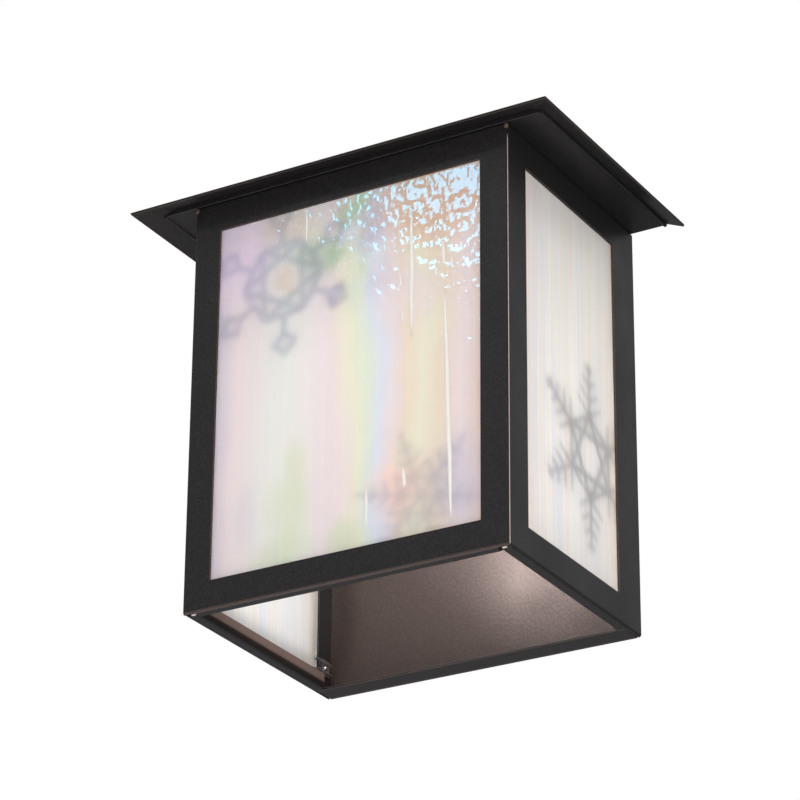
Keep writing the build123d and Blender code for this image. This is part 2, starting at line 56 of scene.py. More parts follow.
lean = math.radians(0.4645)
ahead = Vector((
    -math.sin(heading) * math.cos(tilt), math.cos(heading) * math.cos(tilt), math.sin(tilt)))
level_right = Vector((math.cos(heading), math.sin(heading), 0))
level_up = level_right.cross(ahead)
view_right = level_right * math.cos(lean) + level_up * math.sin(lean)
view_up = level_up * math.cos(lean) - level_right * math.sin(lean)
bpy.ops.object.camera_add(location=lens_place)
camera = bpy.context.object
camera.rotation_euler = Matrix((view_right, view_up, -ahead)).transposed().to_euler()
camera.data.sensor_width = film_width
camera.data.lens = lens_length
scene.camera = camera


# The studio: an even pale surround that is white to the eye. Paint and glass mirror it as a room
# with a bright ceiling, a dark ground, and a wall behind the lantern brighter than the one before it.
def add_node(owner, kind, inputs=None, **settings):
    """Adds a node with its settings, and feeds its inputs with values or with other nodes' outputs."""
    tree = owner.node_tree
    made = tree.nodes.new(kind)
    for name, value in settings.items():
        setattr(made, name, value)
    for name, value in (inputs or {}).items():
        if isinstance(value, bpy.types.NodeSocket):
            tree.links.new(value, made.inputs[name])
        else:
            made.inputs[name].default_value = value
    return made


room_light = 0.62
level_shine = 0.273
wall_shine = 0.085
ceiling_shine = 0.441
ground_shine = 0.08
world = bpy.data.worlds.new("studio")
scene.world = world
world.use_nodes = True
world.node_tree.nodes.clear()
world_rays = add_node(world, "ShaderNodeLightPath")
direction = add_node(world, "ShaderNodeTexCoord")
room_axes = add_node(world, "ShaderNodeSeparateXYZ", {0: direction.outputs["Generated"]})
rear = add_node(world, "ShaderNodeMath", {
    0: room_axes.outputs["Y"], 1: wall_shine, 2: level_shine}, operation="MULTIPLY_ADD")
above = add_node(world, "ShaderNodeMath", {
    0: room_axes.outputs["Z"], 1: ceiling_shine, 2: rear.outputs[0]}, operation="MULTIPLY_ADD")
surround = add_node(world, "ShaderNodeMath", {
    0: above.outputs[0], 1: ground_shine}, operation="MAXIMUM")
mirrored = add_node(world, "ShaderNodeMath", {
    0: world_rays.outputs["Is Glossy Ray"],
    1: world_rays.outputs["Is Transmission Ray"]}, operation="MAXIMUM")
reflected = add_node(world, "ShaderNodeMix", {
    "Factor": mirrored.outputs[0], "A": room_light, "B": surround.outputs[0]})
shown = add_node(world, "ShaderNodeMix", {
    "Factor": world_rays.outputs["Is Camera Ray"], "A": reflected.outputs["Result"], "B": 1.0})
background = add_node(world, "ShaderNodeBackground", {
    "Color": (1, 1, 1, 1), "Strength": shown.outputs["Result"]})
add_node(world, "ShaderNodeOutputWorld", {"Surface": background.outputs[0]})


def add_lamp(name, place, target, width, height, watts, tint):
    """Softbox of that size at a place, aimed at a target."""
    bpy.ops.object.light_add(type="AREA", location=place)
    lamp = bpy.context.object
    lamp.name = name
    lamp.rotation_euler = (Vector(target) - Vector(place)).to_track_quat("-Z", "Y").to_euler()
    lamp.data.shape = "RECTANGLE"
    lamp.data.size = width
    lamp.data.size_y = height
    lamp.data.energy = watts
    lamp.data.color = tint
    lamp.visible_camera = False
    return lamp


# The lamps in the room. The low one lifts the undersides and isn't mirrored in the paint. The window
# is seen in reflections only, and gives the white speckles at the front pane's upper right.
body_middle = (0, -0.085, 0)
speckled_spot = (0.083, -0.1685, 0.111)
add_lamp(
    "key_softbox", (0.8, -1.0, -0.28), body_middle,
    width=0.65, height=0.65, watts=7.2, tint=(1, 0.98, 0.96))
add_lamp(
    "rear_fill", (-1.8, 0.3, 0.2), body_middle,
    width=1.2, height=1.2, watts=11, tint=(0.97, 0.98, 1))
low_bounce = add_lamp(
    "low_bounce", (-0.55, -0.4, -1.2), body_middle,
    width=1.0, height=0.6, watts=18, tint=(1, 0.97, 0.96))
low_bounce.visible_glossy = False
window = add_lamp(
    "window", (-0.672, -1.506, 0.963), speckled_spot,
    width=0.16, height=0.13, watts=0.9, tint=(1, 0.98, 0.97))
window.visible_diffuse = False

# The lit bulb's own light, as it reaches the panes and the pan after it has bounced about inside the
# lantern. The lamps that stand for it behind the panes aren't mirrored.
pane_glow_tint = (1, 0.99, 0.97)
for name, place, aim, width, height, watts in (
        ("glow_to_front", (0, -0.14, -0.018), (0, -1, -0.018), 0.19, 0.26, 0.14),
        ("glow_to_right", (0.07, -0.085, -0.01), (1, -0.085, -0.01), 0.13, 0.23, 0.08),
        ("glow_to_left", (-0.07, -0.085, -0.04), (-1, -0.085, -0.04), 0.13, 0.21, 0.074)):
    pane_glow = add_lamp(name, place, aim, width, height, watts, pane_glow_tint)
    pane_glow.visible_glossy = False
plate_spot = (-0.042, 0, -0.012)
add_lamp(
    "glow_to_plate", (-0.042, -0.158, -0.012), plate_spot,
    width=0.05, height=0.05, watts=0.29, tint=(1, 0.98, 0.97))
bpy.ops.object.light_add(type="POINT", location=(0, -0.085, -0.02))
lit_bulb = bpy.context.object
lit_bulb.name = "lit_bulb"
lit_bulb.data.energy = 0.05
lit_bulb.data.shadow_soft_size = 0.02
lit_bulb.data.color = (1, 0.98, 0.96)
lit_bulb.visible_camera = False


# The floor: a pale sheet a metre and more below the lantern, with a soft shadow on it.
# It lets light and sight through from underneath, because this lantern is looked at from below.
def linear(code):
    """Colour of an sRGB hex code, as the shaders want it."""
    parts = [int(code[i:i + 2], 16) / 255 for i in (1, 3, 5)]
    return (*[p / 12.92 if p <= 0.04045 else ((p + 0.055) / 1.055) ** 2.4 for p in parts], 1)


def new_material(name):
    """Empty material with a node tree."""
    material = bpy.data.materials.new(name)
    material.use_nodes = True
    material.node_tree.nodes.clear()
    return material


floor_level = -1.3
paper_edge = 1.5
fade_start = 0.6
white_share = 0.7
bpy.ops.mesh.primitive_plane_add(size=2 * paper_edge, location=(0, 0, floor_level))
floor = bpy.context.object
floor.name = "floor"
# Studio paper is matt and nearly white. It brightens to white where it is seen, and thins to nothing
# at its edge.
paper = new_material("white_studio_paper")
paper_rays = add_node(paper, "ShaderNodeLightPath")
facing = add_node(paper, "ShaderNodeNewGeometry")
matt = add_node(paper, "ShaderNodeBsdfDiffuse", {"Color": linear("#f1f0ee")})
in_sight = add_node(paper, "ShaderNodeMath", {
    0: paper_rays.outputs["Is Camera Ray"], 1: paper_rays.outputs["Is Glossy Ray"]}, operation="MAXIMUM")
seen = add_node(paper, "ShaderNodeMath", {
    0: in_sight.outputs[0], 1: paper_rays.outputs["Is Transmission Ray"]}, operation="MAXIMUM")
white_part = add_node(paper, "ShaderNodeMath", {0: seen.outputs[0], 1: white_share}, operation="MULTIPLY")
paper_place = add_node(paper, "ShaderNodeTexCoord").outputs["Object"]
paper_reach = add_node(paper, "ShaderNodeVectorMath", {0: paper_place}, operation="LENGTH")
thinning = add_node(paper, "ShaderNodeMapRange", {
    "Value": paper_reach.outputs["Value"],
    "From Min": fade_start, "From Max": paper_edge, "To Min": 0.0, "To Max": 1.0})
white = add_node(paper, "ShaderNodeEmission", {"Color": linear("#ffffff"), "Strength": 1.0})
sheet_face = add_node(paper, "ShaderNodeMixShader", {
    0: white_part.outputs[0], 1: matt.outputs[0], 2: white.outputs[0]})
clear = add_node(paper, "ShaderNodeBsdfTransparent")
gone = add_node(paper, "ShaderNodeMath", {
    0: facing.outputs["Backfacing"], 1: thinning.outputs["Result"]}, operation="MAXIMUM")
both_sides = add_node(paper, "ShaderNodeMixShader", {
    0: gone.outputs[0], 1: sheet_face.outputs[0], 2: clear.outputs[0]})
add_node(paper, "ShaderNodeOutputMaterial", {"Surface": both_sides.outputs[0]})
floor.data.materials.append(paper)


# The soffit plate and the hip roof: bent and mitred steel sheet, screwed together over the body.
# Powder coat in a dark bronze, sprayed on and baked, with the bare metal showing on its edges.
def bronze_powder(name, face, fleck, rub, grain_mm, rough, edge_mm, metal=0.0, pebble=0.35):
    """Satin powder coat: a pebbled film, worn thin and rubbed to another tone along sharp edges."""
    # The real film's grain is about a third as wide; it is drawn this coarse so that it shows.
    cloud_mm = 45
    pebble_height = 0.0002
    coat = new_material(name)
    place = add_node(coat, "ShaderNodeTexCoord").outputs["Object"]
    pebbles = add_node(coat, "ShaderNodeTexNoise", {
        "Vector": place, "Scale": 1000 / grain_mm, "Detail": 3.0, "Roughness": 0.55})
    clouds = add_node(coat, "ShaderNodeTexNoise", {
        "Vector": place, "Scale": 1000 / cloud_mm, "Detail": 4.0})
    softened = add_node(coat, "ShaderNodeBevel", {"Radius": edge_mm / 1000}, samples=6)
    true_face = add_node(coat, "ShaderNodeNewGeometry")
    turn = add_node(coat, "ShaderNodeVectorMath", {
        0: softened.outputs[0], 1: true_face.outputs["True Normal"]}, operation="DOT_PRODUCT")
    edge = add_node(coat, "ShaderNodeMapRange", {
        "Value": turn.outputs["Value"],
        "From Min": 0.985, "From Max": 0.8, "To Min": 0.0, "To Max": 1.0})
    wear = add_node(coat, "ShaderNodeMapRange", {
        "Value": clouds.outputs["Fac"],
        "From Min": 0.35, "From Max": 0.65, "To Min": 0.45, "To Max": 1.0})
    rubbed = add_node(coat, "ShaderNodeMath", {
        0: edge.outputs["Result"], 1: wear.outputs["Result"]}, operation="MULTIPLY")
    flecks = add_node(coat, "ShaderNodeMapRange", {
        "Value": pebbles.outputs["Fac"],
        "From Min": 0.42, "From Max": 0.68, "To Min": 0.0, "To Max": 1.0})
    film = add_node(coat, "ShaderNodeMix", {
        "Factor": flecks.outputs["Result"], 6: linear(face), 7: linear(fleck)}, data_type="RGBA")
    colour = add_node(coat, "ShaderNodeMix", {
        "Factor": rubbed.outputs[0], 6: film.outputs[2], 7: linear(rub)}, data_type="RGBA")
    gloss = add_node(coat, "ShaderNodeMapRange", {
        "Value": clouds.outputs["Fac"],
        "From Min": 0.3, "From Max": 0.7, "To Min": rough - 0.05, "To Max": rough + 0.07})
    raised = add_node(coat, "ShaderNodeBump", {
        "Height": pebbles.outputs["Fac"], "Normal": softened.outputs[0],
        "Strength": pebble, "Distance": pebble_height})
    surface = add_node(coat, "ShaderNodeBsdfPrincipled", {
        "Base Color": colour.outputs[2], "Roughness": gloss.outputs["Result"],
        "Normal": raised.outputs[0], "Metallic": metal, "Specular IOR Level": 0.3})
    add_node(coat, "ShaderNodeOutputMaterial", {"Surface": surface.outputs[0]})
    return coat


def dress(node_name, material):
    """Gives a solid from the frame its finished material."""
    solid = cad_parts[node_name]
    solid.data.materials.clear()
    solid.data.materials.append(material)
    return solid


# Baked bronze powder looks nearly black, satin and finely flecked, with brown on the sheet's edges.
# The soffit's edge is sheltered, and its film is rubbed to a plain grey.
bronze = bronze_powder(
    "bronze_powder_coat", "#1b1a1b", "#282527", "#6f5b52", grain_mm=1.2, rough=0.42, edge_mm=0.7)
soffit_bronze = bronze_powder(
    "soffit_bronze_coat", "#1b1a1b", "#282527", "#4e4c4d", grain_mm=1.2, rough=0.42, edge_mm=0.7)
dress("soffit_plate", soffit_bronze)
dress("roof", bronze)
dress("roof_back", bronze)


# Weld beads where the roof's mitred corners are closed on the underside, a hand's run of small ripples.
# Steel melted in from a wire and coated over with the rest of the roof.
def drop_of_weld(name, place, size):
    """One lump of weld metal, a ball pressed flat and left uneven."""
    unevenness = 0.16
    dents = 1.6
    own_pattern = Vector(place) * 900
    bpy.ops.object.select_all(action="DESELECT")
    bpy.ops.mesh.primitive_ico_sphere_add(subdivisions=3, radius=1, location=(0, 0, 0))
    lump = bpy.context.object
    lump.name = name
    for corner in lump.data.vertices:
        corner.co *= 1 + unevenness * noise.noise(corner.co * dents + own_pattern)
    lump.scale = size
    lump.location = place
    bpy.ops.object.transform_apply(location=True, rotation=True, scale=True)
    bpy.ops.object.shade_smooth()
    return lump


def join_pieces(name, pieces):
    """Makes one object of several pieces."""
    bpy.ops.object.select_all(action="DESELECT")
    for piece in pieces:
        piece.select_set(True)
    bpy.context.view_layer.objects.active = pieces[0]
    bpy.ops.object.join()
    whole = bpy.context.object
    whole.name = name
    return whole


eave_corner = Vector((0.1514, -0.1899, 0.1285))
hip_slope = Vector((-1, 1, 0.418)).normalized()
drop_count = 7
drop_pitch = 0.0016
drop_size = (0.0013, 0.0013, 0.0009)
first_drop = 0.004
below_seam = 0.0002
drops = []
for side in (1, -1):
    for step in range(drop_count):
        along = eave_corner + hip_slope * (first_drop + drop_pitch * step)
        spot = (along.x * side, along.y, along.z - below_seam)
        drops.append(drop_of_weld("weld_drop", spot, drop_size))
hip_welds = join_pieces("hip_welds", drops)
hip_welds.data.materials.append(bronze)
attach(hip_welds, "lantern")


# The three window frames: sheet steel cut out round each window and folded over at top and foot.
# The cut edges are where the coat is thinnest, so they show a warm rubbed line. The fold under the
# front window carries a painted highlight.
def coat_faces(solid, coat, wanted):
    """Adds one more coat to a solid, on the faces that pass a test."""
    solid.data.materials.append(coat)
    newest = len(solid.data.materials) - 1
    for face in solid.data.polygons:
        if wanted(face):
            face.material_index = newest


def dress_frame(node_name, across, cut_lines):
    """Coats a window frame, and its sheet's cut edges on these lines with the thinner film."""
    def on_cut_edge(face):
        off_line = min(abs(abs(face.center[across]) - line) for line in cut_lines)
        turned = abs(face.normal[across]) >= square_on
        return turned and off_line < line_slack and face.area < largest_edge_area
    solid = dress(node_name, bronze)
    coat_faces(solid, cut_edge, on_cut_edge)
    return solid


def paint_shade_past(coat, dark_level, clear_level, dark):
    """Paints shade on a coat: darkens it from the height where it stays clear to the one where it is
    dark, in metres.
    """
    skin = coat.node_tree.nodes["Principled BSDF"]
    film = skin.inputs["Base Color"].links[0].from_socket
    place = add_node(coat, "ShaderNodeTexCoord").outputs["Object"]
    axes = add_node(coat, "ShaderNodeSeparateXYZ", {0: place})
    fade = add_node(coat, "ShaderNodeMapRange", {
        "Value": axes.outputs["Z"],
        "From Min": dark_level, "From Max": clear_level, "To Min": 0.0, "To Max": 1.0})
    tone = add_node(coat, "ShaderNodeMix", {
        "Factor": fade.outputs["Result"], 6: linear(dark), 7: film}, data_type="RGBA")
    coat.node_tree.links.new(tone.outputs[2], skin.inputs["Base Color"])


# A cut edge shows brown steel through a thin film. The sheet's edge at the front corners is a pale line,
# partly rubbed and mostly a painted highlight; just under the soffit it is darkened by a painted shadow.
square_on = 0.95
line_slack = 0.0002
largest_edge_area = 0.001
window_side = 0.095
corner_side = 0.114
side_window_lines = (0.146, 0.0285)
seam_dark_level = 0.1245
seam_clear_level = 0.1215
cut_edge = bronze_powder(
    "bronze_coat_on_cut_edge", "#4a3d38", "#6b594f", "#8a7268",
    grain_mm=0.9, rough=0.38, edge_mm=0.4, metal=0.35)
# Painted highlight: the seam edge's pale tones stand for light caught on the front corners' sheet edge.
seam_edge_highlight = bronze_powder(
    "seam_edge_painted_highlight", "#cfbcb8", "#ecdcd8", "#f0e2de",
    grain_mm=0.9, rough=0.35, edge_mm=0.3, metal=0.2)
# Painted shadow: the seam edge turns dark above 121.5 mm, under the soffit.
paint_shade_past(seam_edge_highlight, seam_dark_level, seam_clear_level, "#1f1c1c")
front_frame = dress_frame("front_frame", 0, (window_side,))
coat_faces(front_frame, seam_edge_highlight, lambda face: (
    abs(face.normal.x) > square_on and abs(abs(face.center.x) - corner_side) < line_slack))
right_frame = dress_frame("right_frame", 1, side_window_lines)
left_frame = dress_frame("left_frame", 1, side_window_lines)

# The upturned lip that holds the foot of each side pane shows its inner face through the open foot: its
# brown is painted light from the lit bulb, and its darker lower half is painted shade. The fold under the
# front window carries a painted highlight from end to end.
lip_top = -0.1305
lip_reach = 0.1105
lip_upright = 0.9
lip_dark_level = -0.1456
lip_clear_level = -0.1438
fold_top = -0.14
fold_slant = -0.15
# Painted light: the lip's brown coat stands for the lit bulb's light falling on it.
lip_painted_light = bronze_powder(
    "lip_coat_painted_light", "#6f5d57", "#7d6a63", "#9c8880",
    grain_mm=1.2, rough=0.4, edge_mm=0.4, metal=0.3)
# Painted highlight: the fold's lighter, pinker coat stands for light on the bend.
fold_painted_highlight = bronze_powder(
    "bronze_fold_painted_highlight", "#3a3231", "#463c3a", "#4c413e",
    grain_mm=0.9, rough=0.4, edge_mm=0.4, metal=0.15)
# Painted shade: the lip's coat darkens over its lower half.
paint_shade_past(lip_painted_light, lip_dark_level, lip_clear_level, "#211d1c")
for side_frame, inward in ((right_frame, -1), (left_frame, 1)):
    coat_faces(side_frame, lip_painted_light, lambda face: (
        face.normal.x * inward > lip_upright
        and face.center.z < lip_top and abs(face.center.x) < lip_reach))
coat_faces(front_frame, fold_painted_highlight, lambda face: (
    face.normal.y < fold_slant and face.normal.z < fold_slant and face.center.z < fold_top))

# Tack welds that close the tops and feet of the two front corners.
# Small lumps of weld metal, filed down and coated; the lower ones are a pale bright grey, a painted
# glint.
tack_top_x, tack_top_y, tack_top_z = 0.1134, -0.1694, 0.1302
tack_foot_x, tack_foot_y, tack_foot_z = 0.1086, -0.1643, -0.1490
top_tack_size = (0.0016, 0.0016, 0.0022)
foot_tack_size = (0.0024, 0.0019, 0.0009)
# Painted glint: the foot tacks' pale bright grey stands for a glint at each foot corner.
weld_painted_glint = bronze_powder(
    "weld_metal_painted_glint", "#d6d2d0", "#e4e1df", "#eae7e5",
    grain_mm=0.8, rough=0.35, edge_mm=0.4, metal=0.2)
top_tacks = []
foot_tacks = []
for side in (1, -1):
    top_spot = (side * tack_top_x, tack_top_y, tack_top_z)
    foot_spot = (side * tack_foot_x, tack_foot_y, tack_foot_z)
    top_tacks.append(drop_of_weld("tack", top_spot, top_tack_size))
    top_tacks[-1].data.materials.append(cut_edge)
    foot_tacks.append(drop_of_weld("tack", foot_spot, foot_tack_size))
    foot_tacks[-1].data.materials.append(weld_painted_glint)
corner_tacks = join_pieces("corner_tacks", top_tacks + foot_tacks)
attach(corner_tacks, "lantern")

# The pan against the wall: a flat plate and a bent rim, coated inside and out.
# Inside, the film is a lighter, browner bronze full of metal flake, seen through the open foot; the
# lighter tone is partly painted light from the lit bulb.
# The flake gives it a soft sparkle; it is drawn coarser than it is, so that it shows.
inside_coat_and_painted_light = bronze_powder(
    "metal_flake_bronze_and_painted_light", "#443a37", "#4c423e", "#645650",
    grain_mm=1.8, rough=0.34, edge_mm=0.7, metal=0.55, pebble=0.5)
into_room = -0.9
plate = dress("back_plate", bronze)
coat_faces(plate, inside_coat_and_painted_light, lambda face: face.normal.y < into_room)
dress("back_rim", bronze)


# The panes: sheets of opal art glass, rolled with a ripple on the outside, fumed so that the milky
# body shows bands of pink, peach, green and lavender. Cut to size, with the edges ground.
def pick_faces(piece, wanted):
    """Selects, in edit mode, only the faces that pass a test."""
    bpy.ops.mesh.select_mode(type="FACE")
    bpy.ops.mesh.select_all(action="DESELECT")
    shape = bmesh.from_edit_mesh(piece.data)
    for face in shape.faces:
        face.select = wanted(face)
    shape.select_flush_mode()
    bmesh.update_edit_mesh(piece.data)


def flake_cover(mesh, flakes, outward):
    """How much of the cut-out flakes lies behind each point of a pane, blurred as by milky glass."""
    blur_rings = ((0, 1, 1.0), (0.25, 6, 0.9), (0.5, 10, 0.6), (0.75, 14, 0.3), (1, 18, 0.12))
    before_face = 0.001
    behind_face = 0.02
    spare = 0.003
    side_a = Vector((0, 0, 1))
    side_b = outward.cross(side_a)
    cover = [0.0] * len(mesh.vertices)
    for flake_node, strength, blur_mm in flakes:
        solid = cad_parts[flake_node].data
        tree = BVHTree.FromPolygons(
            [corner.co for corner in solid.vertices], [list(face.vertices) for face in solid.polygons])
        low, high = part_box(flake_node)
        offsets = []
        for radius, count, share in blur_rings:
            for step in range(count):
                turn = 2 * math.pi * step / count
                reach = radius * blur_mm / 1000
                offsets.append(((side_a * math.cos(turn) + side_b * math.sin(turn)) * reach, share))
        total = sum(share for _, share in offsets)
        margin = Vector((1, 1, 1)) * (blur_mm / 1000 + spare)
        for index, corner in enumerate(mesh.vertices):
            point = corner.co
            if any(point[i] < low[i] - margin[i] or point[i] > high[i] + margin[i] for i in range(3)):
                continue
            start = point + outward * before_face
            amount = sum(share for offset, share in offsets
                         if tree.ray_cast(start + offset, -outward, behind_face)[0] is not None)
            cover[index] += strength * amount / total
    return cover


def make_pane(node_name, name, outward, flakes, wave_mm):
    """Pane with ground edges and a gently rolling outer face, in the place of a plain one."""
    ground_edge = 0.0006
    face_inset = 0.0005
    plain_border = 0.002
    fade_width = 0.006
    roll_across, roll_down, roll_pattern = 0.021, 0.034, 5.3
    straight_out = 0.99
    same_plane = 1e-5
    low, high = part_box(node_name)
    bpy.ops.object.select_all(action="DESELECT")
    bpy.ops.mesh.primitive_cube_add(size=1, location=(low + high) / 2)
    pane = bpy.context.object
    pane.name = name
    pane.scale = high - low
    bpy.ops.object.transform_apply(location=True, rotation=True, scale=True)
    bpy.ops.object.mode_set(mode="EDIT")
    bpy.ops.mesh.select_all(action="SELECT")
    bpy.ops.mesh.bevel(offset=ground_edge, segments=2, affect="EDGES")
    pick_faces(pane, lambda face: face.normal.dot(outward) > straight_out)
    bpy.ops.mesh.inset(thickness=face_inset)
    bpy.ops.mesh.subdivide(number_cuts=100)
    bpy.ops.mesh.subdivide(number_cuts=1)
    bpy.ops.object.mode_set(mode="OBJECT")
    across = Vector((abs(outward.y), abs(outward.x), 0))
    face_line = max(corner.co.dot(outward) for corner in pane.data.vertices)
    for corner in pane.data.vertices:
        if corner.co.dot(outward) < face_line - same_plane:
            continue
        u, w = corner.co.dot(across), corner.co.z
        near_edge = min(u - low.dot(across), high.dot(across) - u, w - low.z, high.z - w)
        fade = min(1, max(0, near_edge - plain_border) / fade_width)
        wave = noise.noise(Vector((u / roll_across, w / roll_down, roll_pattern)))
        corner.co -= outward * wave_mm * (0.5 + 0.5 * wave) * fade / 1000
    shade = pane.data.attributes.new("flake_shadow", "FLOAT", "POINT")
    for index, amount in enumerate(flake_cover(pane.data, flakes, outward)):
        shade.data[index].value = amount
    bpy.ops.object.select_all(action="DESELECT")
    pane.select_set(True)
    bpy.context.view_layer.objects.active = pane
    bpy.ops.object.shade_smooth_by_angle(angle=math.radians(35))
    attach(pane, "lantern")
    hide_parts(node_name)
    return pane


def set_stops(ramp, bands):
    """Puts positions and colours on a colour ramp."""
    stops = ramp.color_ramp.elements
    while len(stops) > 1:
        stops.remove(stops[-1])
    stops[0].position = bands[0][0]
    stops[0].color = linear(bands[0][1])
    for position, code in bands[1:]:
        stops.new(position).color = linear(code)


def opal_glass(name, bands, across, span, patches, tinges, tinge_share, shade_tint, skin, relief):
    """Milky glass: pastel bands and patches with wandering edges, fine draw lines, a hammered skin."""
    drift_mm = 50
    drift_stretch = (1, 1, 0.5)
    drift_width = (0.036, 0.036, 0.05)
    drift_middle = (-0.018, -0.018, -0.025)
    line_mm = 9
    line_stretch = (1, 1, 0.02)
    cell_stretch = (1, 1, 0.72)
    light_through = 0.55
    mirror_tint, index = skin
    cell_mm, relief_mm = relief
    glass = new_material(name)
    place = add_node(glass, "ShaderNodeTexCoord").outputs["Object"]
    long_grain = add_node(glass, "ShaderNodeVectorMath", {
        0: place, 1: drift_stretch}, operation="MULTIPLY")
    drift = add_node(glass, "ShaderNodeTexNoise", {
        "Vector": long_grain.outputs[0], "Scale": 1000 / drift_mm, "Detail": 5.0, "Roughness": 0.6})
    shift = add_node(glass, "ShaderNodeVectorMath", {
        0: drift.outputs["Color"], 1: drift_width, 2: drift_middle}, operation="MULTIPLY_ADD")
    wandered = add_node(glass, "ShaderNodeVectorMath", {0: place, 1: shift.outputs[0]}, operation="ADD")
    axes = add_node(glass, "ShaderNodeSeparateXYZ", {0: wandered.outputs[0]})
    along = add_node(glass, "ShaderNodeMapRange", {
        "Value": axes.outputs[across],
        "From Min": span[0], "From Max": span[1], "To Min": 0.0, "To Max": 1.0})
    ramp = add_node(glass, "ShaderNodeValToRGB", {"Fac": along.outputs["Result"]})
    set_stops(ramp, bands)
    colour = ramp.outputs["Color"]
    for x, z, half_width, half_height, tint, share in patches:
        offset = add_node(glass, "ShaderNodeVectorMath", {
            0: wandered.outputs[0], 1: (x / 1000, 0, z / 1000)}, operation="SUBTRACT")
        scaled = add_node(glass, "ShaderNodeVectorMath", {
            0: offset.outputs[0], 1: (1000 / half_width, 0, 1000 / half_height)}, operation="MULTIPLY")
        reach = add_node(glass, "ShaderNodeVectorMath", {0: scaled.outputs[0]}, operation="LENGTH")
        soft = add_node(glass, "ShaderNodeMapRange", {
            "Value": reach.outputs["Value"],
            "From Min": 1.0, "From Max": 0.2, "To Min": 0.0, "To Max": share},
            interpolation_type="SMOOTHSTEP")
        fumed = add_node(glass, "ShaderNodeMix", {
            "Factor": soft.outputs["Result"], 6: colour, 7: linear(tint)}, data_type="RGBA")
        colour = fumed.outputs[2]
    drawn = add_node(glass, "ShaderNodeVectorMath", {0: place, 1: line_stretch}, operation="MULTIPLY")
    lines = add_node(glass, "ShaderNodeTexNoise", {
        "Vector": drawn.outputs[0], "Scale": 1000 / line_mm, "Detail": 4.0, "Roughness": 0.55})
    tinge = add_node(glass, "ShaderNodeValToRGB", {"Fac": lines.outputs["Fac"]})
    set_stops(tinge, tinges)
    streaked = add_node(glass, "ShaderNodeMix", {
        "Factor": tinge_share, 6: colour, 7: tinge.outputs["Color"]}, data_type="RGBA")
    cover = add_node(glass, "ShaderNodeAttribute", attribute_name="flake_shadow")
    shaded = add_node(glass, "ShaderNodeMix", {
        "Factor": cover.outputs["Fac"], 6: streaked.outputs[2], 7: linear(shade_tint)},
        data_type="RGBA", blend_type="MULTIPLY")
    run_down = add_node(glass, "ShaderNodeVectorMath", {0: place, 1: cell_stretch}, operation="MULTIPLY")
    cells = add_node(glass, "ShaderNodeTexNoise", {
        "Vector": run_down.outputs[0], "Scale": 1000 / cell_mm, "Detail": 1.0, "Roughness": 0.4})
    hammered = add_node(glass, "ShaderNodeBump", {
        "Height": cells.outputs["Fac"], "Strength": 1.0, "Distance": relief_mm / 1000})
    body = add_node(glass, "ShaderNodeBsdfPrincipled", {
        "Base Color": shaded.outputs[2], "Roughness": 0.03, "IOR": index,
        "Normal": hammered.outputs[0], "Specular Tint": linear(mirror_tint)})
    glow = add_node(glass, "ShaderNodeBsdfTranslucent", {"Color": shaded.outputs[2]})
    mixed = add_node(glass, "ShaderNodeMixShader", {
        0: light_through, 1: body.outputs[0], 2: glow.outputs[0]})
    add_node(glass, "ShaderNodeOutputMaterial", {"Surface": mixed.outputs[0]})
    return glass


# The front pane's fuming, in bands from left to right and in soft patches: x, z, half width and half
# height in millimetres, the tint and how strong it is.
pearl, rose, lilac, sky = "#eeefea", "#f1e6e7", "#dbd6e0", "#e5e9f3"
leaf, straw, peach, sand = "#dee6c9", "#f1eedb", "#f1e4d3", "#e8d3c5"
moss, dusk, clay, mint = "#a9cba4", "#cfcbde", "#e8c8ae", "#e8eedd"
mauve, blush = "#f6e7f6", "#ffe3d6"
front_bands = (
    (0.00, lilac), (0.10, rose), (0.28, pearl), (0.46, rose), (0.53, straw), (0.56, mint), (0.615, sky),
    (0.655, rose), (0.70, peach), (0.76, straw), (0.83, peach), (0.90, rose), (1.00, sand))
front_patches = (
    (-88, 92, 44, 60, mauve, 0.8), (-50, 104, 30, 18, sand, 0.5), (-24, 80, 26, 26, moss, 0.42),
    (-30, 96, 14, 14, straw, 0.6), (-6, 82, 18, 20, moss, 0.6), (3, 94, 11, 13, sky, 0.8),
    (4, 106, 20, 15, moss, 0.5), (20, 88, 16, 28, dusk, 0.7), (66, 96, 62, 44, clay, 0.85),
    (17, 56, 9, 16, leaf, 0.45), (28, 42, 12, 24, lilac, 0.4), (50, 30, 22, 28, rose, 0.7),
    (62, 4, 18, 24, straw, 0.7), (-34, -70, 13, 26, leaf, 0.5), (-38, -98, 19, 28, leaf, 0.55),
    (-44, -122, 26, 16, leaf, 0.6), (-30, -120, 10, 20, mint, 0.5), (-3, -124, 16, 18, leaf, 0.7),
    (-66, -92, 14, 32, lilac, 0.35), (-94, -108, 20, 44, lilac, 0.4), (-20, -100, 13, 32, rose, 0.6),
    (17, -112, 13, 26, sky, 0.8), (82, -98, 26, 42, dusk, 0.38), (40, -96, 32, 34, blush, 0.75),
    # Painted shadow: the dusk patch at x -3, z 48 darkens the glass where the upper snowflake's shadow
    # falls.
    (50, -72, 20, 20, straw, 0.6), (-48, 64, 14, 13, sand, 0.55), (-3, 48, 11, 12, dusk, 0.6))
pastel_lines = (
    (0.30, "#f3f6ec"), (0.42, "#f8eeee"), (0.50, "#fbf7f2"), (0.58, "#efecf6"), (0.68, "#fbf3ea"))
side_bands = (
    (0.0, "#fdf3ea"), (0.1, "#fbf3ec"), (0.25, "#f5f3ee"), (0.5, "#f0f0ec"), (0.75, "#f2f2ee"),
    (0.88, "#f8f4ec"), (1.0, "#fff4dc"))
side_lines = (
    (0.30, "#e6eee2"), (0.42, "#f3e6e6"), (0.50, "#f4f4ef"), (0.58, "#e4e5f4"), (0.68, "#f5eede"))
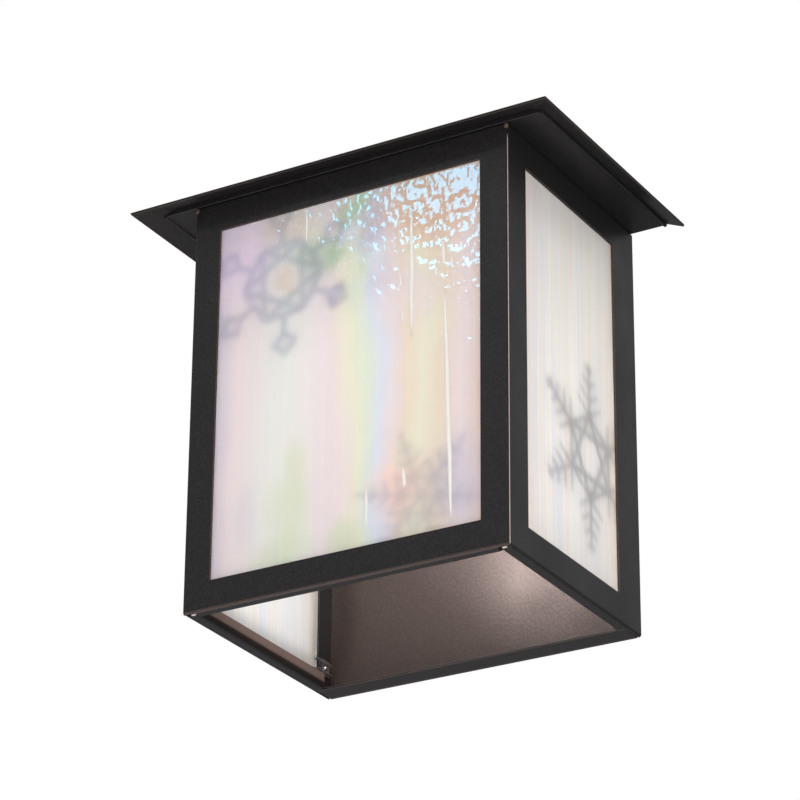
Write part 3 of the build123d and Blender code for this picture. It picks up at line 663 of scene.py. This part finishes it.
# The fumed pane's thin oxide skin has a high index and mirrors blue, on a relief of hammered cells
# 5 mm wide. The side panes are plain milky glass, smooth and drawn in faint upright lines.
front_span = (-0.103, 0.103)
side_span = (-0.16, -0.02)
oxide_skin = ("#45cbff", 1.95)
bare_skin = ("#ffffff", 1.5)
hammered_cells = (5.0, 0.33)
smooth_swells = (12, 0.02)
fumed_front = opal_glass(
    "fumed_opal_glass", front_bands, "X", front_span, front_patches, pastel_lines,
    tinge_share=0.16, shade_tint="#8a93c4", skin=oxide_skin, relief=hammered_cells)
milky_side = opal_glass(
    "milky_opal_glass", side_bands, "Y", side_span, (), side_lines,
    tinge_share=0.5, shade_tint="#7f8892", skin=bare_skin, relief=smooth_swells)
# Each snowflake's shadow on its pane: how dark it is, and the width of its blur in millimetres.
front_flakes = (("snowflake_upper", 0.13, 3.2), ("snowflake_lower", 0.07, 2.8))
right_flakes = (("snowflake_right", 0.2, 3.0),)
left_flakes = (("snowflake_left", 0.2, 3.0),)
front_pane = make_pane("front_glass", "front_pane", Vector((0, -1, 0)), front_flakes, wave_mm=0.05)
right_pane = make_pane("right_glass", "right_pane", Vector((1, 0, 0)), right_flakes, wave_mm=0.1)
left_pane = make_pane("left_glass", "left_pane", Vector((-1, 0, 0)), left_flakes, wave_mm=0.1)
front_pane.data.materials.append(fumed_front)
right_pane.data.materials.append(milky_side)
left_pane.data.materials.append(milky_side)


# The snowflakes: thin sheet cut out by laser and bonded behind the panes.
# A pale blue-grey primer coat, matt, that shows through the milky glass only as a soft shadow.
def plain_coat(name, face, other, patch_mm, rough, shine, grain_mm):
    """Moulded, glazed or painted skin: soft patches of tone and a faint unevenness of the surface."""
    # The grain is drawn coarser than the real skin's, so that it shows.
    skin = new_material(name)
    place = add_node(skin, "ShaderNodeTexCoord").outputs["Object"]
    patches = add_node(skin, "ShaderNodeTexNoise", {
        "Vector": place, "Scale": 1000 / patch_mm, "Detail": 3.0})
    tone = add_node(skin, "ShaderNodeMix", {
        "Factor": patches.outputs["Fac"], 6: linear(face), 7: linear(other)}, data_type="RGBA")
    fine = add_node(skin, "ShaderNodeTexNoise", {
        "Vector": place, "Scale": 1000 / grain_mm, "Detail": 2.0})
    gloss = add_node(skin, "ShaderNodeMapRange", {
        "Value": fine.outputs["Fac"], "To Min": rough * 0.8, "To Max": rough * 1.25})
    relief = add_node(skin, "ShaderNodeBump", {
        "Height": fine.outputs["Fac"], "Strength": 0.2, "Distance": 0.0001})
    surface = add_node(skin, "ShaderNodeBsdfPrincipled", {
        "Base Color": tone.outputs[2], "Roughness": gloss.outputs["Result"],
        "Normal": relief.outputs[0], "Specular IOR Level": shine})
    add_node(skin, "ShaderNodeOutputMaterial", {"Surface": surface.outputs[0]})
    return skin


primer = plain_coat(
    "grey_primed_sheet", "#c6cee8", "#d4daee", patch_mm=12, rough=0.6, shine=0.3, grain_mm=0.6)
for flake_node in ("snowflake_upper", "snowflake_lower", "snowflake_right", "snowflake_left"):
    dress(flake_node, primer)


# Runs on the front pane: glass that trickled down the sheet's rolled face while it was hot.
# Clear and nearly white, raised by a third of a millimetre, thin at both ends.
def run_of_glass(top, foot, half_width):
    """Long drop of glass down the front pane between two points, x and z in millimetres."""
    run_plane = -0.16825
    half_depth = 0.00055
    waist_change, waist_ripples = 0.25, 150
    widest_sway, sway_ripples, sway_pattern = 0.0005, 60, 7
    bpy.ops.object.select_all(action="DESELECT")
    bpy.ops.mesh.primitive_uv_sphere_add(segments=12, ring_count=28, radius=1, location=(0, 0, 0))
    drop = bpy.context.object
    drop.name = "run_of_glass"
    half = Vector(((top[0] - foot[0]) / 2000, 0, (top[1] - foot[1]) / 2000))
    middle = Vector(((top[0] + foot[0]) / 2000, run_plane, (top[1] + foot[1]) / 2000))
    for corner in drop.data.vertices:
        along = corner.co.z
        waist = 1 + waist_change * noise.noise(Vector((top[0], 0, along * half.z * waist_ripples)))
        sway = widest_sway * noise.noise(
            Vector((top[0] + sway_pattern, 0, along * half.z * sway_ripples)))
        corner.co = middle + half * along + Vector((
            corner.co.x * half_width * waist / 1000 + sway, corner.co.y * half_depth, 0))
    bpy.ops.object.shade_smooth()
    return drop


# A run is smooth, and paler and plainer than the fumed glass under it.
run_glass = plain_coat(
    "clear_glass_run", "#e8e5e0", "#e1ded9", patch_mm=9, rough=0.25, shine=0.5, grain_mm=3)
pane_and_runs = [front_pane]
for top, foot, half_width in (
        ((45.5, 93), (46.5, 1), 1.485), ((68, 63), (69, 44), 1.215), ((69.5, 33), (74.5, -131), 1.485),
        ((41, -83), (42, -98), 1.215), ((15.3, -90), (16, -119), 0.945), ((-31.5, 109), (-31, 86), 1.08),
        ((74, 51), (74.5, 41), 0.945), ((37.5, 47), (38.5, 38), 0.81), ((39.5, 24), (40, 12), 0.81)):
    run = run_of_glass(top, foot, half_width)
    run.data.materials.append(run_glass)
    pane_and_runs.append(run)
front_pane = join_pieces("front_pane", pane_and_runs)


# Clips that hold the panes: bent spring steel on weld studs with hexagon nuts, and at the rear
# two-fingered clips riveted to the pan. The rear clips, studs, nuts and rivets are zinc plated, the other
# clips oiled.
def bare_metal(name, face, dull, patch_mm, rough, scratch_mm):
    """Bright or plated metal: cloudy patches of dull tone and fine drawn scratches."""
    # Real scratches are hairs; they are drawn over half a millimetre wide so that they show.
    scratch_stretch = (1, 1, 0.1)
    metal = new_material(name)
    place = add_node(metal, "ShaderNodeTexCoord").outputs["Object"]
    clouds = add_node(metal, "ShaderNodeTexNoise", {
        "Vector": place, "Scale": 1000 / patch_mm, "Detail": 4.0})
    drawn = add_node(metal, "ShaderNodeVectorMath", {
        0: place, 1: scratch_stretch}, operation="MULTIPLY")
    scratches = add_node(metal, "ShaderNodeTexNoise", {
        "Vector": drawn.outputs[0], "Scale": 1000 / scratch_mm, "Detail": 2.0})
    tone = add_node(metal, "ShaderNodeMix", {
        "Factor": clouds.outputs["Fac"], 6: linear(face), 7: linear(dull)}, data_type="RGBA")
    gloss = add_node(metal, "ShaderNodeMapRange", {
        "Value": scratches.outputs["Fac"], "To Min": rough * 0.7, "To Max": rough * 1.4})
    relief = add_node(metal, "ShaderNodeBump", {
        "Height": scratches.outputs["Fac"], "Strength": 0.15, "Distance": 0.00005})
    surface = add_node(metal, "ShaderNodeBsdfPrincipled", {
        "Base Color": tone.outputs[2], "Metallic": 1.0, "Roughness": gloss.outputs["Result"],
        "Normal": relief.outputs[0]})
    add_node(metal, "ShaderNodeOutputMaterial", {"Surface": surface.outputs[0]})
    return metal


# Oil leaves the spring steel a dull blue-grey; fresh zinc is paler and brighter, with a cloudy bloom.
spring_steel = bare_metal(
    "oiled_spring_steel", "#8d9096", "#6f7278", patch_mm=6, rough=0.34, scratch_mm=0.7)
zinc = bare_metal("bright_zinc_plate", "#c6c9cc", "#a8acae", patch_mm=5, rough=0.3, scratch_mm=0.6)
for clip_node in ("front_glass_clips", "side_glass_clips"):
    dress(clip_node, spring_steel)
for zinc_node in ("rear_glass_clips", "clip_studs", "clip_nuts", "clip_rivets", "soffit_nuts"):
    dress(zinc_node, zinc)


# Screws that hold the frames and the pan up to the soffit: pan heads with a cross recess.
# Cold-headed steel with rolled shanks, plated with bright zinc; their nuts are on top of the soffit.
def raise_rings(name, centre, rings, sides):
    """Round piece drawn up from a circle through rings of radius and height in millimetres."""
    bpy.ops.object.select_all(action="DESELECT")
    radius, height = rings[0]
    bpy.ops.mesh.primitive_circle_add(
        vertices=sides, radius=radius / 1000, location=(centre[0], centre[1], height / 1000),
        fill_type="NOTHING")
    piece = bpy.context.object
    piece.name = name
    bpy.ops.object.transform_apply(location=True, rotation=True, scale=True)
    bpy.ops.object.mode_set(mode="EDIT")
    bpy.ops.mesh.select_mode(type="EDGE")
    bpy.ops.mesh.select_all(action="SELECT")
    for next_radius, next_height in rings[1:]:
        rise = (next_height - height) / 1000
        bpy.ops.mesh.extrude_region_move(TRANSFORM_OT_translate={"value": (0, 0, rise)})
        grow = next_radius / radius
        middle = (centre[0], centre[1], next_height / 1000)
        bpy.ops.transform.resize(value=(grow, grow, 1), center_override=middle)
        radius, height = next_radius, next_height
    bpy.ops.object.mode_set(mode="OBJECT")
    return piece


def close_rings(piece):
    """Caps the open ends of a round piece and turns its faces outwards."""
    bpy.ops.object.mode_set(mode="EDIT")
    bpy.ops.mesh.select_mode(type="EDGE")
    bpy.ops.mesh.select_all(action="DESELECT")
    bpy.ops.mesh.select_non_manifold(extend=False, use_boundary=True)
    bpy.ops.mesh.edge_face_add()
    bpy.ops.mesh.select_all(action="SELECT")
    bpy.ops.mesh.normals_make_consistent(inside=False)
    bpy.ops.object.mode_set(mode="OBJECT")
    bpy.ops.object.shade_smooth_by_angle(angle=math.radians(30))


def cut_away(piece, place, size):
    """Takes a block of that size out of a piece."""
    bpy.ops.object.select_all(action="DESELECT")
    bpy.ops.mesh.primitive_cube_add(size=1, location=place)
    cutter = bpy.context.object
    cutter.scale = size
    bpy.ops.object.transform_apply(location=True, rotation=True, scale=True)
    cut = piece.modifiers.new("cut", "BOOLEAN")
    cut.operation = "DIFFERENCE"
    cut.object = cutter
    bpy.context.view_layer.objects.active = piece
    bpy.ops.object.modifier_apply(modifier="cut")
    bpy.data.objects.remove(cutter)


screw_places = (
    (0.06, -0.16225), (-0.06, -0.16225), (0.10625, -0.1235), (-0.10625, -0.1235),
    (0.10625, -0.0635), (-0.10625, -0.0635), (0.06, -0.00925), (-0.06, -0.00925))
first_x, first_y = screw_places[0]
head_rings = ((2.6, 128.4), (3.4, 128.65), (3.85, 129.3), (4.0, 130.2), (4.0, 131.0))
shank_rings = ((2.0, 130.9), (2.0, 137.4), (1.6, 137.8))
recess_middle = (first_x, first_y, 0.1286)
recess_long, recess_wide, recess_deep = 0.0042, 0.0009, 0.0026
screw_head = raise_rings("soffit_screw", screw_places[0], head_rings, sides=32)
close_rings(screw_head)
cut_away(screw_head, recess_middle, (recess_long, recess_wide, recess_deep))
cut_away(screw_head, recess_middle, (recess_wide, recess_long, recess_deep))
bpy.ops.object.shade_smooth_by_angle(angle=math.radians(30))
shank = raise_rings("soffit_screw_shank", screw_places[0], shank_rings, sides=24)
close_rings(shank)
one_screw = join_pieces("soffit_screw", [screw_head, shank])
screws = [one_screw]
for x, y in screw_places[1:]:
    bpy.ops.object.select_all(action="DESELECT")
    one_screw.select_set(True)
    bpy.context.view_layer.objects.active = one_screw
    bpy.ops.object.duplicate(linked=False)
    bpy.ops.transform.translate(value=(x - first_x, y - first_y, 0))
    bpy.ops.object.transform_apply(location=True, rotation=True, scale=True)
    screws.append(bpy.context.object)
pan_head_screws = join_pieces("pan_head_screws", screws)
pan_head_screws.data.materials.append(zinc)
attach(pan_head_screws, "lantern")
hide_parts("soffit_screws")

# The lampholder: a cup of glazed porcelain on a threaded nipple, with two lock nuts through the soffit.
# Slip-cast and fired, with a clear glaze, and a brass spring contact in its floor.
# The glaze is a glossy warm white; lacquered brass is yellow, with browner clouds.
porcelain = plain_coat(
    "glazed_porcelain", "#efece6", "#e6e2da", patch_mm=20, rough=0.16, shine=0.5, grain_mm=3)
brass = bare_metal("lacquered_brass", "#c9a55a", "#a8843f", patch_mm=7, rough=0.3, scratch_mm=0.6)
dress("lampholder", porcelain)
dress("centre_contact", brass)
dress("lamp_nipple", zinc)
dress("lock_nuts", zinc)


# The screw shell: brass sheet rolled into a coarse round thread inside the porcelain cup.
# Its thread bulges outwards only, so that the bulb's cap stays clear of it.
def roll_thread(piece, centre, start, end, lead, depth):
    """Presses a round thread into a sleeve between two heights, all in millimetres."""
    slack = 0.01
    for corner in piece.data.vertices:
        height = corner.co.z * 1000
        if not start - slack <= height <= end + slack:
            continue
        arm = Vector((corner.co.x - centre[0], corner.co.y - centre[1], 0))
        turn = math.atan2(arm.y, arm.x)
        ease = min(1, (height - start) / lead, (end - height) / lead)
        wave = 0.5 - 0.5 * math.cos(2 * math.pi * height / lead - turn)
        corner.co += arm.normalized() * depth / 1000 * wave * max(0, ease)


lamp_line = (0, -0.085)
thread_lead = 3.63
ring_pitch = 0.4
shell_bore = 13.32
shell_foot = 85.5
shell_top = 113.2
shell_neck = 8.5
shell_wall = 0.00018
shell_rings = [(shell_bore, shell_foot + ring_pitch * step) for step in range(69)]
shell_rings += [(shell_bore, shell_top), (shell_neck, shell_top)]
screw_sleeve = raise_rings("screw_sleeve", lamp_line, shell_rings, sides=64)
roll_thread(screw_sleeve, lamp_line, start=86.0, end=112.0, lead=thread_lead, depth=0.35)
sleeve_wall = screw_sleeve.modifiers.new("wall", "SOLIDIFY")
sleeve_wall.thickness = shell_wall
sleeve_wall.offset = 1
bpy.context.view_layer.objects.active = screw_sleeve
bpy.ops.object.modifier_apply(modifier="wall")
bpy.ops.object.shade_smooth_by_angle(angle=math.radians(40))
screw_sleeve.data.materials.append(brass)
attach(screw_sleeve, "lantern")
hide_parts("screw_shell")

# The bulb: a globe of soda glass blown into a mould, with a white frosting on its inside.
# Its neck is cemented into the screw cap. The frosting is milky and even, under a glossy skin.
neck = 12.0
globe = 30.0
neck_top = 84.8
neck_foot = 81.7
shoulder_fall = 51
globe_middle = 30.7
shoulder_steps = 16
frost_cloud_mm = 18
frost_through = 0.3
neck_rings = [(neck, neck_top), (neck, neck_foot)]
shoulder_rings = []
for step in range(1, shoulder_steps + 1):
    part = step / shoulder_steps
    swell = 3 * part ** 2 - 2 * part ** 3
    shoulder_rings.append((neck + (globe - neck) * swell, neck_foot - shoulder_fall * part))
# The last ring stops just short of the globe's foot, and a small flat face closes it.
globe_rings = []
globe_steps = 17
steps_to_foot = 17.6
for step in range(1, globe_steps + 1):
    turn = math.radians(90 * step / steps_to_foot)
    globe_rings.append((globe * math.cos(turn), globe_middle - globe * math.sin(turn)))
bulb_rings = neck_rings + shoulder_rings + globe_rings
bulb_globe = raise_rings("bulb_globe", lamp_line, bulb_rings, sides=64)
close_rings(bulb_globe)
frosting = new_material("frosted_soda_glass")
frost_place = add_node(frosting, "ShaderNodeTexCoord").outputs["Object"]
frost_clouds = add_node(frosting, "ShaderNodeTexNoise", {
    "Vector": frost_place, "Scale": 1000 / frost_cloud_mm, "Detail": 3.0})
frost_tone = add_node(frosting, "ShaderNodeMix", {
    "Factor": frost_clouds.outputs["Fac"], 6: linear("#f4f1ea"), 7: linear("#e9e5dc")}, data_type="RGBA")
frost_body = add_node(frosting, "ShaderNodeBsdfPrincipled", {
    "Base Color": frost_tone.outputs[2], "Roughness": 0.22, "IOR": 1.5})
frost_glow = add_node(frosting, "ShaderNodeBsdfTranslucent", {"Color": frost_tone.outputs[2]})
frost_mix = add_node(frosting, "ShaderNodeMixShader", {
    0: frost_through, 1: frost_body.outputs[0], 2: frost_glow.outputs[0]})
add_node(frosting, "ShaderNodeOutputMaterial", {"Surface": frost_mix.outputs[0]})
bulb_globe.data.materials.append(frosting)
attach(bulb_globe, "bulb")
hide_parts("bulb_glass")

# The bulb's cap: thin aluminium drawn into a cup, its screw thread rolled in, cemented to the neck.
# A black glass insulator closes its end and holds the centre contact.
# Rolled aluminium is pale and a little cloudy; the insulator is glossy and nearly black.
cap_radius = 12.15
cap_skirt = (12.9, 81.7)
cap_foot = 82.3
cap_rings = [cap_skirt] + [(cap_radius, cap_foot + ring_pitch * step) for step in range(49)]
cap_rings += [(cap_radius, 102.0), (11.9, 102.9), (11.0, 103.6)]
screw_cap = raise_rings("screw_cap", lamp_line, cap_rings, sides=64)
roll_thread(screw_cap, lamp_line, start=83.0, end=101.5, lead=thread_lead, depth=0.85)
close_rings(screw_cap)
aluminium = bare_metal(
    "rolled_aluminium_cap", "#c4c6c8", "#a9acae", patch_mm=6, rough=0.32, scratch_mm=0.6)
screw_cap.data.materials.append(aluminium)
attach(screw_cap, "bulb")
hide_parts("bulb_base")
cap_glass = plain_coat(
    "black_cap_glass", "#17171a", "#222226", patch_mm=5, rough=0.2, shine=0.5, grain_mm=1.5)
dress("bulb_insulator", cap_glass)
dress("bulb_contact", brass)


# The wire entry and the ground: a snap-in nylon bushing, and a green ground screw in a tapped collar.
# The bushing is moulded; the screw has a slotted hexagon head and a plated cup washer.
def bar_from_wall(sides, radius, depth, place):
    """Bar that stands straight out from the wall, with its middle at a place."""
    bpy.ops.object.select_all(action="DESELECT")
    bpy.ops.mesh.primitive_cylinder_add(
        vertices=sides, radius=radius, depth=depth, location=place, rotation=(math.radians(90), 0, 0))
    bpy.ops.object.transform_apply(location=True, rotation=True, scale=True)
    return bpy.context.object


# Moulded nylon is a soft-shining black. The dip on the ground screw is a glossy mid green.
nylon = plain_coat(
    "black_moulded_nylon", "#1b1b1c", "#262627", patch_mm=8, rough=0.45, shine=0.4, grain_mm=0.8)
green = plain_coat(
    "green_dipped_steel", "#2f6b3c", "#3b7d49", patch_mm=3, rough=0.32, shine=0.5, grain_mm=0.8)
ground_x, ground_z = 0.032, -0.03
slot_size = (0.0012, 0.0024, 0.012)
dress("wire_bushing", nylon)
dress("ground_washer", zinc)
ground_head = bar_from_wall(
    sides=6, radius=0.00462, depth=0.0032, place=(ground_x, -0.0064, ground_z))
bpy.ops.object.mode_set(mode="EDIT")
bpy.ops.mesh.select_all(action="SELECT")
bpy.ops.mesh.bevel(offset=0.00035, segments=3, affect="EDGES")
bpy.ops.object.mode_set(mode="OBJECT")
cut_away(ground_head, (ground_x, -0.008, ground_z), slot_size)
bpy.ops.object.shade_smooth_by_angle(angle=math.radians(30))
ground_shank = bar_from_wall(
    sides=24, radius=0.0024, depth=0.0047, place=(ground_x, -0.00245, ground_z))
bpy.ops.object.shade_smooth_by_angle(angle=math.radians(30))
slotted_ground_screw = join_pieces("slotted_ground_screw", [ground_head, ground_shank])
slotted_ground_screw.data.materials.append(green)
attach(slotted_ground_screw, "lantern")
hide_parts("ground_screw")
